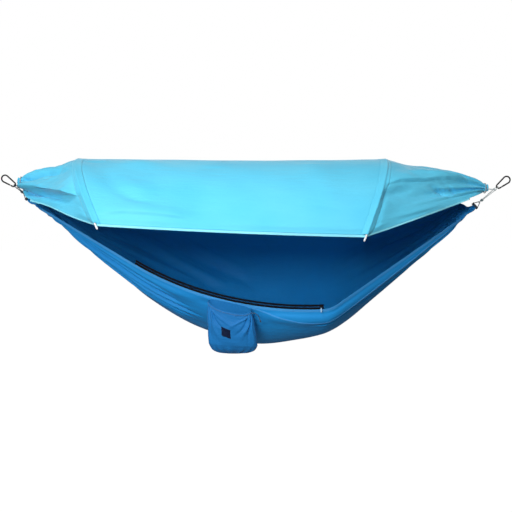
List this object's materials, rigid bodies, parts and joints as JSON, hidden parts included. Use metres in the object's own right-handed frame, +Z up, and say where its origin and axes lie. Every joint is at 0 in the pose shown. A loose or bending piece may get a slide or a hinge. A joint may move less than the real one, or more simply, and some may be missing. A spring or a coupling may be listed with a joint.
{
  "type": "hammock tent",
  "caption": "Gathered-end camping hammock with a pole-spread canopy, mosquito netting, a zip along the front edge, a hanging stuff pouch and a carabiner at each end.",
  "frame": {"origin": "where the tree strap bears in the left carabiner, at the inside of its broad end", "axes": "+X along the hammock from its left end to its right end as seen from the zip side, +Y away from the viewer on the zip side, +Z up"},
  "size_m": [2.6828, 1.1982, 0.9759],
  "materials": {
    "canopy_nylon": "thin woven nylon with a slight sheen",
    "bed_nylon": "thin woven nylon with a soft sheen",
    "bed_hem_nylon": "folded and stitched nylon",
    "mosquito_netting": "fine open mesh",
    "zip_tape": "woven tape",
    "zip_coil": "moulded coil",
    "zip_metal": "painted die cast",
    "zip_pull_plastic": "moulded over cord",
    "carabiner_alloy": "black anodised",
    "small_steel": "plain",
    "ferrule_steel": "drawn tube",
    "pole_fibreglass": "resin skin",
    "shock_cord": "braided cover",
    "pole_tip_plastic": "moulded",
    "pale_cord": "braided",
    "dark_cord": "braided",
    "pouch_nylon": "thin woven nylon with a soft sheen",
    "label_tape": "woven, bare"
  },
  "bodies": {
    "hang_hardware": {"left_carabiner_body": "carabiner_alloy", "left_gate_rivet": "small_steel", "right_carabiner_body": "carabiner_alloy", "right_gate_rivet": "small_steel"},
    "left_gate": {"left_carabiner_gate": "carabiner_alloy", "left_gate_spring": "small_steel"},
    "right_gate": {"right_carabiner_gate": "carabiner_alloy", "right_gate_spring": "small_steel"},
    "hammock": {"bed_front_hem": "bed_hem_nylon", "bed_rear_hem": "bed_hem_nylon", "bed_sheet": "bed_nylon", "canopy_front_hem": "canopy_nylon", "canopy_rear_hem": "canopy_nylon", "canopy_sheet": "canopy_nylon", "front_net": "mosquito_netting", "left_canopy_cord": "pale_cord", "left_end_cord": "dark_cord", "left_front_pole_tip": "pole_tip_plastic", "left_hang_rope": "dark_cord", "left_pole_elastic": "shock_cord", "left_pole_ferrule_1": "ferrule_steel", "left_pole_ferrule_2": "ferrule_steel", "left_pole_ferrule_3": "ferrule_steel", "left_pole_section_1": "pole_fibreglass", "left_pole_section_2": "pole_fibreglass", "left_pole_section_3": "pole_fibreglass", "left_pole_section_4": "pole_fibreglass", "left_pole_sleeve": "canopy_nylon", "left_rear_pole_tip": "pole_tip_plastic", "rear_net": "mosquito_netting", "right_canopy_cord": "pale_cord", "right_end_cord": "dark_cord", "right_front_pole_tip": "pole_tip_plastic", "right_hang_rope": "pale_cord", "right_pole_elastic": "shock_cord", "right_pole_ferrule_1": "ferrule_steel", "right_pole_ferrule_2": "ferrule_steel", "right_pole_ferrule_3": "ferrule_steel", "right_pole_section_1": "pole_fibreglass", "right_pole_section_2": "pole_fibreglass", "right_pole_section_3": "pole_fibreglass", "right_pole_section_4": "pole_fibreglass", "right_pole_sleeve": "canopy_nylon", "right_rear_pole_tip": "pole_tip_plastic", "zip_left_stop": "zip_metal", "zip_lower_tape": "zip_tape", "zip_right_stop": "zip_metal", "zip_teeth": "zip_coil", "zip_upper_tape": "zip_tape"},
    "slider": {"zip_slider": "zip_metal", "zip_slider_back": "zip_metal"},
    "pull": {"zip_pull": "zip_pull_plastic"},
    "pouch": {"pouch_bag": "pouch_nylon", "pouch_drawstring": "dark_cord", "pouch_cord_tail": "dark_cord", "pouch_tail_knot": "dark_cord", "pouch_label": "label_tape"}
  },
  "joints": [
    {"name": "left_gate_hinge", "type": "hinge", "parent": "hang_hardware", "child": "left_gate", "pos_m": [0.03868, 0, -0.04257], "axis": [0, 1, 0], "range_deg": [0, 25], "stiffness_Nm_per_rad": 0.05, "springref_deg": -20.05},
    {"name": "right_gate_hinge", "type": "hinge", "parent": "hang_hardware", "child": "right_gate", "pos_m": [2.62599, 0, -0.05072], "axis": [0, -1, 0], "range_deg": [0, 25], "stiffness_Nm_per_rad": 0.05, "springref_deg": -20.05},
    {"name": "hammock_swing", "type": "hinge", "parent": "hang_hardware", "child": "hammock", "pos_m": [0.06389, 0, -0.04474], "axis": [1, 0, -0.0039], "range_deg": [-15, 15]},
    {"name": "zip_travel", "type": "hinge", "parent": "hammock", "child": "slider", "pos_m": [1.57488, 0.55884, 0.55591], "axis": [-0.012, 0.7771, -0.6292], "range_deg": [0, 36.12]},
    {"name": "pull_hinge", "type": "hinge", "parent": "slider", "child": "pull", "pos_m": [1.65076, -0.40589, -0.6335], "axis": [-0.9987, -0.0404, -0.0309], "range_deg": [-10, 100]},
    {"name": "pouch_swing", "type": "hinge", "parent": "hammock", "child": "pouch", "pos_m": [1.20213, -0.3707, -0.61447], "axis": [-0.9702, 0.1432, 0.1953], "range_deg": [-8, 70]}
  ]
}
